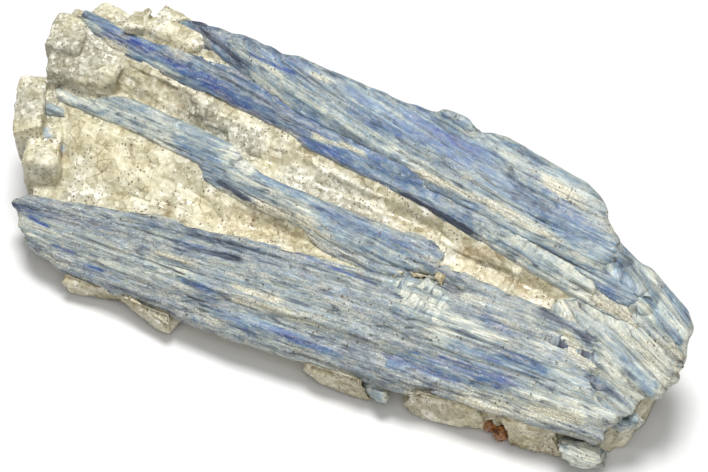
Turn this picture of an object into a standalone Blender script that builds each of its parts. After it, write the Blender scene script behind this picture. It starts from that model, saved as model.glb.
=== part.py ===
"""A hand specimen of bladed kyanite in milky quartz, lying on its broken flat underside.

X runs along the blades, Y to the back and Z up. The origin is on the flat underside, below the
middle of the specimen. Nearly all the blades lie on one long face that slopes down to the front, so
they are laid out on that face in millimetres: u along the length, v up the slope, w out of the rock.
"""

import itertools
import math
import random

import bmesh
import bpy
from mathutils import Matrix, Vector

MM = 0.001
GAP = 0.3  # parting between two minerals that touch
FACE_DIP = 31.0  # slope of the front face, in degrees
FACE_HEIGHT = 31.0  # height of that face's centre line over the table
BACK_SLOPE = 76.0  # slope of the back face, in degrees
BACK_Y = 35.0  # where that face's centre line lies, behind the origin
BACK_HEIGHT = 22.0  # and its height over the table
BLOCK = 400.0  # side of a block large enough to cut the whole specimen
TINY = 0.004 * MM  # edges shorter than this are cleared away after a cut
FLAT_ANGLES = (0.6, 0.4, 0.25, 0.15, 0.08)  # degrees under which two faces may count as one flat face

BLADE_THICKNESS = 6.5
END_TAPER = (0.38, 0.70)  # how narrow a broken blade end is, least and most
END_LENGTH = 4.5  # how far from its end a blade starts to narrow
END_RAGGED = 2.2  # how far the corners of a broken end stand apart
BLADE_SECTION = ((-0.50, -0.20), (-0.36, 0.0), (0.32, 0.0), (0.50, -0.24), (0.44, -1.0), (-0.42, -1.0))

# Blades: u and v of one end, u and v of the other, width, lift of the top over the face, roll in degrees.
DARK_BLUE_BLADES = (
    (-93, 26, -25, 21, 5.0, 2.6, 0),
    (-86, 23, -9, 18, 4.5, 1.8, -8),
    (-48, 23, 14, 17, 4.5, 2.3, 6),
    (-24, 18, 28, 13, 5.0, 1.6, -5),
    (-13, 18, 64, 8, 5.0, 1.9, 5),
    (12, 14.5, 78, 4.5, 5.0, 1.4, -3),
)
MIDDLE_BLADES = (
    (-92, 4, -35, 3.5, 3.6, 1.0, 18),
    (-80, 5, -37, 2.5, 5.0, 1.6, 8),
    (-44, -1, 19, -3, 5.5, 1.2, -6),
    (-37, 2, 25, -0.5, 6.0, 1.9, 3),
    (-21, 2, 25, 2, 4.5, 1.1, 9),
)
UPPER_BLADES = (
    (-66, 35, -9, 19, 4.5, 1.0, 12),
    (-57, 34, 4, 18, 6.0, 2.0, -4),
    (-50, 35, 26, 18, 6.5, 2.6, 3),
    (-45, 33.5, 48, 15, 8.0, 3.2, -2),
    (-36, 33.5, 63, 16, 8.0, 3.6, 4),
    (-22, 33, 62, 23, 7.0, 3.2, -5),
    (-60, 35.5, -20, 34, 4.0, 1.2, -25),
    (-31, 35.5, 14, 33.5, 4.5, 1.8, -20),
    (-2, 34, 46, 30.5, 6.0, 2.4, -14),
    (28, 34.2, 60, 27, 6.0, 2.4, -8),
    (24, 35, 57, 29.8, 5.0, 1.6, -12),
    (11, 37, 20, 36, 2.6, 3.4, -10),
    (-10, 20, 40, 16, 5.0, 2.0, 6),
    (25, 19, 76, 9, 6.0, 2.4, 5),
    (36, 28, 66, 19, 8.0, 3.0, 1),
)
LOWER_BLADES = (
    (-91, -28, -45, -17, 4.5, 1.6, 10),
    (-86, -29, -25, -15, 5.5, 1.2, 6),
    (-53, -20, -1, -12, 6.0, 1.6, 4),
    (-22, -15, 25, -9, 6.0, 2.0, 2),
    (24, -2.5, 70, -4, 6.0, 1.0, 4),
    (18, -9, 58, -8, 7.0, 2.0, -2),
    (-87, -32, -33, -24, 6.0, 2.0, 2),
    (-48, -24, 20, -16, 7.5, 2.6, -2),
    (5, -16, 63, -13, 7.5, 2.8, 3),
    (38, -9, 72, -11, 6.0, 1.8, -3),
    (-84, -35, -24, -29, 6.0, 1.4, -8),
    (-37, -28, 30, -21, 7.0, 2.4, -5),
    (21, -19, 75, -16, 7.0, 2.4, -4),
    (-77, -36, -18, -35.2, 6.0, 0.4, -18),
    (-27, -32, 43, -26, 7.0, 1.6, -9),
    (30, -23, 82, -20, 6.0, 1.8, -8),
    (-24, -35.2, 31, -30.5, 5.5, 0.2, -22),
    (25, -29.5, 80, -24, 6.0, 0.4, -16),
)
END_BLADE = (
    (63, 20, 90, 6, 8.0, -1.0, -14),
    (66, 17, 91.5, -1, 9.0, -0.6, -4),
    (64, 21, 85, 11, 5.0, -2.2, -24),
    (70, 18.5, 90.5, 7.8, 6.5, -1.8, -16),
)
END_SPLINTERS = (
    (57, 2, 86, -1, 5.0, 0.5, 8),
    (66, 8, 90, 0, 5.0, 1.0, -6),
    (50, -7, 88, -9, 6.0, 0.9, 4),
    (43, -4, 76, -17, 5.0, 1.0, -7),
    (68, 4, 91, -4.2, 5.0, 0.6, -4),
    (66, -1, 88, -10, 6.0, 0.8, 5),
    (60, -9, 84, -17, 5.5, 0.6, -10),
)
LEFT_TIP_BLADE = ((-100, -1, -88, 0, 3.0, 0.6, 14),)
FRONT_CHIP = ((17, -32.5, 23, -37, 4.5, -3.0, -20),)
LOWER_CHIP = ((71, -32.6, 81.5, -30.6, 6.0, -4.0, 6),)
RIGHT_CHIP = ((78, -17.5, 86, -19, 5.0, -2.5, -18),)
BACK_BLADES = (
    (-48, 8, 10, 12, 6.5, 1.4, 6),
    (-40, 3, 45, 8, 7.0, 1.9, -4),
    (-20, 12, 62, 9, 6.0, 1.2, 5),
    (-52, 1, -5, 5, 5.5, 1.0, -8),
    (5, 4, 70, 3, 6.5, 1.5, 4),
    (-25, -2, 50, 2, 6.5, 1.0, -6),
    (30, 10, 82, 5, 5.0, 0.8, 3),
)

# The quartz core's outline: for each seam, (x, v, w) on the front face at a few places along it.
SEAM_FRONT = ((-104, -37, -3), (-40, -38, -3), (0, -36, -3), (45, -30, -2), (98, -23, -3))
SEAM_STEP_LOW = ((-104, -24, -1), (-50, -15, -1), (0, -11, -1), (45, -7, -1), (98, -8, -1))
SEAM_STEP_TOP = ((-104, -1, 0), (-80, 1, 1), (-50, 0, 0.5), (10, -4, 0), (98, -5, -1))
SEAM_WALL_LOW = ((-104, 4, -1), (-50, 6, -2), (0, 2, -2), (40, -0.5, -1.2), (60, -2, -0.6), (98, -3, -2))
SEAM_WALL_TOP = ((-104, 22, 3), (-60, 19, 2), (0, 12, 0), (40, 7.5, 0.3), (60, 4.5, 0), (98, 1, -2))
SEAM_BLOCK = ((-104, 27, 1), (-60, 26, 0), (0, 22, -1), (60, 14, -2), (98, 6, -3))
SEAM_RIDGE = ((-104, 29, -2), (-60, 32, -3), (20, 33, -3), (55, 29, -3), (75, 21, -4), (98, 12, -6))
# The rest of the outline, as (x, y, z): down the back, under the specimen and up to the front.
SEAM_BACK_TOP = ((-104, 29, 36), (-90, 31.5, 38), (-40, 31.5, 36.5), (45, 32, 37.5), (62, 33.5, 34), (98, 26, 33))
SEAM_BACK = ((-104, 32, 24), (-84, 36.5, 20), (-20, 35.5, 21), (45, 35.5, 22), (64, 37, 19), (98, 28, 22))
SEAM_BACK_LOW = ((-104, 29, 13), (-78, 37, 9), (-48, 34, 12), (-14, 38, 8), (20, 34.5, 11), (52, 37.5, 8), (98, 26, 10))
SEAM_HEEL = ((-104, 22, 0), (-76, 31, 0), (-46, 24, 0), (-12, 32, 0), (22, 25, 0), (54, 30, 0), (98, 18, 0))
SEAM_TOE = ((-104, -20, 0), (-30, -25, 0), (40, -20, 0), (98, -13, 0))
SEAM_UNDERCUT = ((-104, -24, 5), (-50, -29, 5), (0, -28, 5), (60, -21, 5), (98, -16, 5))
CORE_STEP = 11.5  # spacing of the stations along X
CORE_ROUGHNESS = 0.8  # how far the points of the rough surface wander
# Fractures that end the core: x and y of a point on each, its compass direction, and its tilt from upright.
FRACTURES = ((-96, 20, 176, 4), (-93, -12, 207, 6), (75, 20, 59, 20), (87, 0, 0, 6), (83, -12, -25, 6))

# Quartz chunks fused to the core: x, y and z of the middle, half-sizes, turn about Z, and how far the
# fractures have cut its corners away.
QUARTZ_CHUNKS = {
    "top_left_block": (-87, 16, 29, 11.5, 10.5, 16, 4, 0.34),
    "top_knob": (-77, 25, 41, 3.2, 4.5, 10, 10, 0.5),
    "top_block": (-66, 27, 41, 11, 5.5, 9.5, -6, 0.5),
    "left_column": (-97, -2, 17, 4.6, 10, 18, 24, 0.32),
    "second_column": (-89.5, -7.5, 14.5, 5, 10.5, 15.5, 20, 0.3),
    "top_left_corner": (-94, 15.5, 36, 5, 6, 10, 8, 0.24),
    "left_foot": (-63, -28.5, 4.4, 9, 5.5, 4.6, 8, 0.45),
    "front_foot": (-47, -28, 5, 10.5, 6.5, 5.2, -8, 0.55),
    "middle_foot": (9, -27, 6, 12, 5, 6, 6, 0.7),
    "low_ledge": (38, -23, 7, 13, 5, 7, 8, 0.6),
    "garnet_ledge": (51, -18.5, 4, 6, 5, 4.5, 10, 0.4),
    "right_foot": (64, -19, 8, 12, 7, 8, 8, 0.6),
    "end_chunk": (79, -6, 10, 7, 9, 10, -14, 0.5),
    "back_chunk": (62, 24, 12, 14, 8, 10, -12, 0.5),
    "back_left_foot": (-74, 29, 9, 15, 8, 9, 12, 0.5),
    "back_foot": (-10, 31, 7, 21, 7, 8, -5, 0.55),
    "back_heel": (34, 30, 5, 12, 7, 5.5, 14, 0.6),
    "back_top_left": (-88, 26, 33, 8, 6.5, 9, -8, 0.45),
}
POINTS_PER_CORNER = 3
# Garnet grains: x, y and z of the middle, and radius.
GARNETS = {"garnet_left": (50.4, -22.6, 3.2, 1.7), "garnet_right": (54.0, -23.4, 2.6, 1.9)}

MATERIALS = {
    "quartz": ((0.62, 0.56, 0.43), 0.45),
    "kyanite": ((0.22, 0.34, 0.52), 0.38),
    "kyanite_dark": ((0.08, 0.15, 0.38), 0.35),
    "kyanite_pale": ((0.42, 0.52, 0.62), 0.40),
    "garnet": ((0.22, 0.07, 0.02), 0.30),
}


def clear_scene():
    for obj in list(bpy.data.objects):
        bpy.data.objects.remove(obj)


def front_face():
    """From u, v, w on the front face, in millimetres, to the object's frame, in metres."""
    turn = Matrix.Rotation(math.radians(FACE_DIP), 4, "X")
    return Matrix.Scale(MM, 4) @ Matrix.Translation((0, 0, FACE_HEIGHT)) @ turn


def back_face():
    """The same for the back face, which looks away from the front."""
    turn = Matrix.Rotation(math.pi, 4, "Z") @ Matrix.Rotation(math.radians(BACK_SLOPE), 4, "X")
    return Matrix.Scale(MM, 4) @ Matrix.Translation((0, BACK_Y, BACK_HEIGHT)) @ turn


def along(table, x):
    """The values of a table of (x, value, ...) at x, on straight lines between its rows."""
    rows = [row for row in table if row[0] <= x]
    before = rows[-1] if rows else table[0]
    after = next((row for row in table if row[0] > x), table[-1])
    if after[0] == before[0]:
        return before[1:]
    share = (x - before[0]) / (after[0] - before[0])
    return tuple(a + (b - a) * share for a, b in zip(before[1:], after[1:]))


def material(name):
    colour, roughness = MATERIALS[name]
    made = bpy.data.materials.get(name) or bpy.data.materials.new(name)
    made.use_nodes = True
    shader = made.node_tree.nodes["Principled BSDF"]
    shader.inputs["Base Color"].default_value = (*colour, 1)
    shader.inputs["Roughness"].default_value = roughness
    return made


def new_object(name, bm):
    """A mesh object made of bm, which is freed."""
    bmesh.ops.recalc_face_normals(bm, faces=bm.faces)
    mesh = bpy.data.meshes.new(name)
    bm.to_mesh(mesh)
    bm.free()
    obj = bpy.data.objects.new(name, mesh)
    bpy.context.scene.collection.objects.link(obj)
    return obj


def skin_rings(bm, rings):
    """Walls between neighbouring rings of points, and a cap on the first and the last."""
    loops = []
    for ring in rings:
        verts = [bm.verts.new(point) for point in ring]
        loops.append([bm.edges.new((a, b)) for a, b in zip(verts, verts[1:] + verts[:1])])
    for first, second in zip(loops, loops[1:]):
        bmesh.ops.bridge_loops(bm, edges=first + second)
    for end in (loops[0], loops[-1]):
        bmesh.ops.contextual_create(bm, geom=end)


def blade(row, face, grow):
    """One kyanite blade: a flat bar with bevelled edges and ragged, narrowing ends."""
    u0, v0, u1, v1, width, lift, roll = row
    rng = random.Random(str(row))
    start, end = Vector((u0, v0, 0)), Vector((u1, v1, 0))
    length = (end - start).length
    axis = (end - start) / length
    place = Matrix.Translation(start + Vector((0, 0, lift + grow)))
    turn = Matrix(((axis.x, -axis.y, 0, 0), (axis.y, axis.x, 0, 0), (0, 0, 1, 0), (0, 0, 0, 1)))
    local = place @ turn @ Matrix.Rotation(math.radians(roll), 4, "X")
    section = [(s + rng.uniform(-0.05, 0.05), n + rng.uniform(-0.05, 0.05)) for s, n in BLADE_SECTION]
    narrow = min(END_LENGTH, 0.3 * length)
    rings = []
    for at, is_end in ((-grow, True), (narrow, False), (length - narrow, False), (length + grow, True)):
        share = rng.uniform(*END_TAPER) if is_end else rng.uniform(0.92, 1.04)
        side = rng.uniform(-0.5, 0.5) * (1 - share) * width
        ragged = END_RAGGED if is_end else 0.4 * END_RAGGED
        ring = []
        for s, n in section:
            shift = rng.uniform(-0.5, 0.5) * ragged
            across = side + s * (share * width + 2 * grow)
            ring.append(local @ Vector((at + shift, across, n * (BLADE_THICKNESS + 2 * grow))))
        rings.append([face @ point for point in ring])
    bm = bmesh.new()
    skin_rings(bm, rings)
    bmesh.ops.triangulate(bm, faces=bm.faces)
    return new_object("blade", bm)


def keep_largest_body(bm):
    """Clears away the crumbs that a cut has left loose, which leaves the body with the most faces."""
    left, bodies = set(bm.faces), []
    while left:
        body, edge = set(), [left.pop()]
        while edge:
            face = edge.pop()
            body.add(face)
            near = {f for e in face.edges if e.is_manifold for f in e.link_faces} & left
            left -= near
            edge += near
        bodies.append(body)
    largest = max(bodies, key=len)
    bmesh.ops.delete(bm, geom=[face for face in bm.faces if face not in largest], context="FACES")


def tidy(bm):
    """Clears away what is too small to see in a cut surface, and leaves one body of triangles."""
    bmesh.ops.remove_doubles(bm, verts=bm.verts, dist=TINY)
    bmesh.ops.dissolve_degenerate(bm, edges=bm.edges, dist=TINY)
    bmesh.ops.triangulate(bm, faces=bm.faces)
    keep_largest_body(bm)


def combine(name, base, others, operation):
    """base with the others joined to it or cut from it, as one new object. The inputs are removed."""
    for other in others:
        modifier = base.modifiers.new("combine", "BOOLEAN")
        modifier.operation = operation
        modifier.object = other
        modifier.solver = "EXACT"
    bpy.context.view_layer.update()
    evaluated = base.evaluated_get(bpy.context.evaluated_depsgraph_get())
    bm = bmesh.new()
    bm.from_mesh(bpy.data.meshes.new_from_object(evaluated))
    tidy(bm)
    for obj in (base, *others):
        bpy.data.objects.remove(obj)
    return new_object(name, bm)


def merge_flat_faces(obj):
    """Joins the faces that a cut has split, where they lie in one plane and the surface stays closed."""
    for angle in FLAT_ANGLES:
        bm = bmesh.new()
        bm.from_mesh(obj.data)
        bmesh.ops.dissolve_limit(bm, angle_limit=math.radians(angle), verts=bm.verts, edges=bm.edges)
        tidy(bm)
        closed = all(edge.is_manifold for edge in bm.edges)
        if closed:
            bm.to_mesh(obj.data)
        bm.free()
        if closed:
            return


def block_under(face, depth):
    """A block that fills all the space more than depth under a face."""
    bm = bmesh.new()
    bmesh.ops.create_cube(bm, size=BLOCK, matrix=face @ Matrix.Translation((0, 0, depth - BLOCK / 2)))
    return new_object("block", bm)


def sheaf(name, rows, face, bed, grow=0.0):
    """Blades that grew together, joined as one solid on a flat bed. grow thickens them, for a cutter."""
    blades = [blade(row, face, grow) for row in rows]
    if len(blades) == 1:
        blades[0].name = name
        return blades[0]
    joined = combine("joined", blades[0], blades[1:], "UNION")
    return combine(name, joined, [block_under(face, bed - grow)], "DIFFERENCE")


def fracture(x, y, compass, tilt):
    """A block that covers all that has broken off beyond a steep flat fracture."""
    turn = Matrix.Rotation(math.radians(compass), 4, "Z") @ Matrix.Rotation(math.radians(-tilt), 4, "Y")
    place = Matrix.Translation(Vector((x, y, 0)) * MM) @ turn @ Matrix.Translation((BLOCK * MM / 2, 0, 0))
    bm = bmesh.new()
    bmesh.ops.create_cube(bm, size=BLOCK * MM, matrix=place)
    return new_object("fracture", bm)


def quartz_core():
    """The long body of quartz that carries the blades, with a stepped front face and a flat underside."""
    face = front_face()
    on_face = (SEAM_FRONT, SEAM_STEP_LOW, SEAM_STEP_TOP, SEAM_WALL_LOW, SEAM_WALL_TOP, SEAM_BLOCK, SEAM_RIDGE)
    behind = (SEAM_BACK_TOP, SEAM_BACK, SEAM_BACK_LOW, SEAM_HEEL, SEAM_TOE, SEAM_UNDERCUT)
    rings = []
    first, last = SEAM_FRONT[0][0], SEAM_FRONT[-1][0]
    stations = round((last - first) / CORE_STEP)
    for station in range(stations + 1):
        x = first + (last - first) * station / stations
        ring = [face @ Vector((x, *along(seam, x))) for seam in on_face]
        rings.append(ring + [Vector((x, *along(seam, x))) * MM for seam in behind])
    bm = bmesh.new()
    skin_rings(bm, rings)
    bmesh.ops.triangulate(bm, faces=bm.faces)
    rng = random.Random("quartz core")
    for vert in bm.verts:
        wobble = [rng.uniform(-CORE_ROUGHNESS, CORE_ROUGHNESS) * MM for _ in range(3)]
        if vert.co.z > 2 * CORE_ROUGHNESS * MM:
            vert.co += Vector(wobble)
    broken_off = [fracture(*row) for row in FRACTURES]
    return combine("quartz_core", new_object("unbroken", bm), broken_off, "DIFFERENCE")


def chunk(name, x, y, z, half_x, half_y, half_z, turn, cut):
    """A chunk of quartz with flat fractures: the hull of a few points scattered near a block's corners."""
    rng = random.Random(name)
    place = Matrix.Scale(MM, 4) @ Matrix.Translation((x, y, z)) @ Matrix.Rotation(math.radians(turn), 4, "Z")
    bm = bmesh.new()
    for corner in itertools.product((-half_x, half_x), (-half_y, half_y), (-half_z, half_z)):
        for _ in range(POINTS_PER_CORNER):
            bm.verts.new(place @ Vector([side * (1 - rng.uniform(0, cut)) for side in corner]))
    hull = bmesh.ops.convex_hull(bm, input=bm.verts)
    inner = {*hull["geom_interior"], *hull["geom_unused"]}
    bmesh.ops.delete(bm, geom=[vert for vert in bm.verts if vert in inner], context="VERTS")
    everything = [*bm.verts, *bm.edges, *bm.faces]
    foot = Vector((0, 0, rng.uniform(0.4, 1.0) * MM))
    bmesh.ops.bisect_plane(bm, geom=everything, plane_co=foot, plane_no=(0, 0, -1), clear_outer=True)
    bmesh.ops.holes_fill(bm, edges=[edge for edge in bm.edges if edge.is_boundary])
    bmesh.ops.triangulate(bm, faces=bm.faces)
    return new_object("chunk", bm)


def garnet(name, x, y, z, radius, grow=0.0):
    """A small rounded garnet grain with flat faces."""
    bm = bmesh.new()
    place = Matrix.Scale(MM, 4) @ Matrix.Translation((x, y, z))
    bmesh.ops.create_icosphere(bm, subdivisions=2, radius=radius + grow, matrix=place)
    return new_object(name, bm)


def bounds(obj):
    corners = [vert.co for vert in obj.data.vertices]
    low = Vector([min(c[i] for c in corners) for i in range(3)])
    high = Vector([max(c[i] for c in corners) for i in range(3)])
    return low, high


def touch(first, second):
    (low_a, high_a), (low_b, high_b) = bounds(first), bounds(second)
    return all(low_a[i] < high_b[i] and low_b[i] < high_a[i] for i in range(3))


def cut_back(obj, cutters):
    """obj cut back from each cutter that reaches it. The cutters are kept for the next piece."""
    reached = [cutter.copy() for cutter in cutters if touch(obj, cutter)]
    if not reached:
        return obj
    for cutter in reached:
        bpy.context.scene.collection.objects.link(cutter)
    name, obj.name = obj.name, "uncut"
    return combine(name, obj, reached, "DIFFERENCE")


def build():
    clear_scene()
    front, back = front_face(), back_face()
    bundles = (
        ("dark_blue_blades", DARK_BLUE_BLADES, front, -2.2, "kyanite_dark"),
        ("middle_blades", MIDDLE_BLADES, front, -2.5, "kyanite_pale"),
        ("upper_blades", UPPER_BLADES, front, -2.8, "kyanite"),
        ("lower_blades", LOWER_BLADES, front, -3.1, "kyanite"),
        ("end_splinters", END_SPLINTERS, front, -3.4, "kyanite_pale"),
        ("end_blade", END_BLADE, front, -5.2, "kyanite"),
        ("left_tip_blade", LEFT_TIP_BLADE, front, -2.0, "kyanite_pale"),
        ("front_chip", FRONT_CHIP, front, -8.0, "kyanite_pale"),
        ("lower_chip", LOWER_CHIP, front, -8.0, "kyanite_pale"),
        ("right_chip", RIGHT_CHIP, front, -8.0, "kyanite_pale"),
        ("back_blades", BACK_BLADES, back, -2.6, "kyanite"),
    )
    cutters = []
    for name, rows, face, bed, finish in bundles:
        piece = cut_back(sheaf(name, rows, face, bed), cutters)
        merge_flat_faces(piece)
        piece.data.materials.append(material(finish))
        cutters.append(sheaf(name + "_cutter", rows, face, bed, GAP))
    for name, row in GARNETS.items():
        grain = cut_back(garnet(name, *row), cutters)
        grain.data.materials.append(material("garnet"))
        cutters.append(garnet(name + "_cutter", *row, GAP))
    chunks = [chunk(name, *row) for name, row in QUARTZ_CHUNKS.items()]
    whole = combine("quartz_matrix", quartz_core(), chunks, "UNION")
    quartz = cut_back(whole, cutters)
    merge_flat_faces(quartz)
    quartz.data.materials.append(material("quartz"))
    for cutter in cutters:
        bpy.data.objects.remove(cutter)


build()
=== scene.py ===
# %% [markdown]
# # A hand specimen of bladed kyanite in milky quartz
# The rock comes as a plain model: flat-faced blades on a flat-faced block of quartz. This notebook gives
# it the surface of the real mineral. Kyanite grows as long laths that split along their length, so it
# is all streaks, steps and fibres. Quartz has no such grain: it breaks into shallow bowls with sharp
# rims, and is cloudy, stained and peppered with dark grains. We load the plain model first.

# %% Load the plain rock
import math

import bmesh
import bpy
import numpy as np
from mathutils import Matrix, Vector
from mathutils.bvhtree import BVHTree


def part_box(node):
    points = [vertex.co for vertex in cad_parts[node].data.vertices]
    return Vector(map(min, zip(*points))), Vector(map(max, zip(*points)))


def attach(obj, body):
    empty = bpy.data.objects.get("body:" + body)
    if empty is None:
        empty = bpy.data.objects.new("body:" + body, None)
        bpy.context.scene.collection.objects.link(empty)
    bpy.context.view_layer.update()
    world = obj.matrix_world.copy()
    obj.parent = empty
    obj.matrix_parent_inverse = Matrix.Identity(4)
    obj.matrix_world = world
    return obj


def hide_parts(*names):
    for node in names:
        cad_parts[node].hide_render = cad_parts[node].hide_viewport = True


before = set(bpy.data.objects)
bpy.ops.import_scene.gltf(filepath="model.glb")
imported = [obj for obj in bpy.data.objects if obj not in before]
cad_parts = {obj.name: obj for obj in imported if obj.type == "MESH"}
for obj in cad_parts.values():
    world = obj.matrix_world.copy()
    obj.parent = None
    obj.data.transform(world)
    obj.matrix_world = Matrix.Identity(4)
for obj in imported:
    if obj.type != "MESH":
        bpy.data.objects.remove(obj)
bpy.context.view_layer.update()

MM = 0.001

# %% [markdown]
# ## Camera, floor and light
# The rock is looked down on from its right, at about 55 degrees. The floor is a wide pale sheet and the
# sky is an even white. One broad lamp hangs almost straight overhead, a little to the back, so that the
# soft shadow stays close to the rock and falls to the front. A weaker one opens up the shade there.

# %% Camera, floor and light
AZIMUTH, ELEVATION = math.radians(26), math.radians(55)
TARGET = Vector((0, 0, 0.028))
DISTANCE = 0.51667
LENS = 100
WHITE_SKY = 0.19
FLOOR_SIZE = 6.0
FLOOR_GREY = 0.80
# Each lamp: name, place and size in metres, and power in watts.
LAMPS = (
    ("window", (-0.05, 0.09, 0.92), 0.28, 8.4),
    ("fill", (0.20, -0.38, 0.80), 0.5, 2.4),
)


def look_at_rock():
    """The camera, on a line from the target at the chosen angles."""
    flat = math.cos(ELEVATION)
    back = Vector((math.sin(AZIMUTH) * flat, -math.cos(AZIMUTH) * flat, math.sin(ELEVATION)))
    camera = bpy.data.objects.new("camera", bpy.data.cameras.new("camera"))
    camera.data.lens = LENS
    camera.location = TARGET + back * DISTANCE
    camera.rotation_euler = (-back).to_track_quat("-Z", "Y").to_euler()
    bpy.context.scene.collection.objects.link(camera)
    bpy.context.scene.camera = camera


def lamp(name, place, size, watts):
    """A square lamp that faces the rock."""
    light = bpy.data.lights.new(name, "AREA")
    light.size, light.energy = size, watts
    obj = bpy.data.objects.new(name, light)
    obj.location = place
    obj.rotation_euler = (TARGET - Vector(place)).to_track_quat("-Z", "Y").to_euler()
    bpy.context.scene.collection.objects.link(obj)


def pale_floor():
    """A wide sheet that the rock lies on."""
    bm = bmesh.new()
    bmesh.ops.create_grid(bm, x_segments=1, y_segments=1, size=FLOOR_SIZE / 2)
    floor = bpy.data.objects.new("floor", bpy.data.meshes.new("floor"))
    bm.to_mesh(floor.data)
    bm.free()
    bpy.context.scene.collection.objects.link(floor)
    paper = bpy.data.materials.new("white paper")
    paper.use_nodes = True
    shader = paper.node_tree.nodes["Principled BSDF"]
    shader.inputs["Base Color"].default_value = (FLOOR_GREY, FLOOR_GREY, FLOOR_GREY, 1)
    shader.inputs["Roughness"].default_value = 0.9
    shader.inputs["Specular IOR Level"].default_value = 0.1
    floor.data.materials.append(paper)


look_at_rock()
for row in LAMPS:
    lamp(*row)
pale_floor()
world = bpy.data.worlds.new("white sky")
bpy.context.scene.world = world
world.use_nodes = True
world.node_tree.nodes["Background"].inputs["Color"].default_value = (1, 1, 1, 1)
world.node_tree.nodes["Background"].inputs["Strength"].default_value = WHITE_SKY
bpy.context.scene.view_settings.view_transform = "Standard"
print("camera,", len(LAMPS), "lamps, a white sky and a floor", FLOOR_SIZE, "m wide")

# %% [markdown]
# ## Measuring on the rock
# Nearly all the blades lie on one long face that slopes to the front, and a few on the back face. It is
# much easier to place a streak with u along that face, v up its slope and w out of the rock, in
# millimetres, than in the rock's own X, Y and Z.

# %% Coordinates on the front and back face
FACE_DIP, FACE_HEIGHT = math.radians(31), 31.0
BACK_SLOPE, BACK_Y, BACK_HEIGHT = math.radians(76), 35.0, 22.0


def on_front(points):
    """u, v and w on the front face, for points in millimetres."""
    y, z = points[:, 1], points[:, 2] - FACE_HEIGHT
    across, out = math.cos(FACE_DIP), math.sin(FACE_DIP)
    return np.column_stack((points[:, 0], y * across + z * out, z * across - y * out))


def on_back(points):
    """The same on the back face, seen from behind."""
    y, z = points[:, 1] - BACK_Y, points[:, 2] - BACK_HEIGHT
    across, out = math.cos(BACK_SLOPE), math.sin(BACK_SLOPE)
    return np.column_stack((-points[:, 0], z * out - y * across, z * across + y * out))


def face_out(face):
    """The direction straight out of the front or back face."""
    zero, out = face(np.zeros((1, 3)))[0], np.eye(3)
    return np.array([face(out[k : k + 1])[0][2] - zero[2] for k in range(3)])


print("a point half way up the front:", on_front(np.array([[0.0, 0.0, FACE_HEIGHT]]))[0])

# %% [markdown]
# ## Chance that repeats
# A natural surface needs thousands of random numbers, and the same ones each time. Instead of drawing
# them one after another, we scramble the whole-number address of a grid cell, so that a cell always
# gets the same number, whatever else changes. Smooth noise comes from blending the numbers at a cell's
# eight corners.

# %% Scrambled cells and smooth noise
def chance(seed, *address):
    """A number from 0 to 1 for each cell, which depends on its address and the seed alone."""
    mixed = np.full(np.shape(address[0]), seed * 2654435761 % 2**32, dtype=np.uint32)
    for part in address:
        mixed = mixed ^ part.astype(np.int64).astype(np.uint32)
        mixed = (mixed ^ (mixed >> np.uint32(16))) * np.uint32(0x7FEB352D)
        mixed = (mixed ^ (mixed >> np.uint32(15))) * np.uint32(0x846CA68B)
        mixed = mixed ^ (mixed >> np.uint32(16))
    return mixed.astype(np.float64) / 2**32


def ease(value):
    """0 to 1 with level ends."""
    value = np.clip(value, 0, 1)
    return value * value * (3 - 2 * value)


def cloud(points, size, seed):
    """Smooth noise from 0 to 1. size is the width of its blobs along each axis."""
    scaled = points / np.asarray(size)
    cell = np.floor(scaled)
    near = ease(scaled - cell)
    total = np.zeros(len(points))
    for corner in np.ndindex(2, 2, 2):
        weight = np.prod([near[:, k] if corner[k] else 1 - near[:, k] for k in range(3)], axis=0)
        total += weight * chance(seed, *(cell[:, k] + corner[k] for k in range(3)))
    return total


def clouds(points, size, seed, layers=3):
    """Noise with finer noise added, each layer half as large and half as strong."""
    total, strength = np.zeros(len(points)), 0.0
    for layer in range(layers):
        total += cloud(points, np.asarray(size) / 2**layer, seed + layer) / 2**layer
        strength += 0.5**layer
    return total / strength


sample = np.random.default_rng(1).uniform(-90, 90, (5000, 3))
print("noise runs from %.2f to %.2f" % (cloud(sample, 7, 1).min(), cloud(sample, 7, 1).max()))

# %% [markdown]
# ## Along the grain
# The blades of a sheaf aren't parallel: they fan out from one end. To draw streaks that follow them, we
# walk from each point along the local blade direction until a fixed line across the sheaf. Where we
# land is the point's place across the grain, so two points on one blade get the same value. The slope of
# the blades is known at the corners of the sheaf and blended in between.

# %% Grain coordinates
WALK_STEPS = 14


def slope_at(u, v, fan):
    """How much v changes per u along the blades, blended between the corners of the sheaf."""
    (u0, u1), (v0, v1), (low_left, low_right, high_left, high_right) = fan
    along = np.clip((u - u0) / (u1 - u0), 0, 1)
    up = np.clip((v - v0) / (v1 - v0), 0, 1)
    low = low_left + (low_right - low_left) * along
    high = high_left + (high_right - high_left) * along
    return low + (high - low) * up


def grain_of(places, fan):
    """Along, across and out of the grain, in millimetres. The walks end at the fan's last u."""
    u, v = places[:, 0].copy(), places[:, 1].copy()
    step = (fan[0][1] - u) / WALK_STEPS
    for _ in range(WALK_STEPS):
        half = v + 0.5 * step * slope_at(u, v, fan)
        v += step * slope_at(u + 0.5 * step, half, fan)
        u += step
    return np.column_stack((places[:, 0], v, places[:, 2]))


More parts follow.
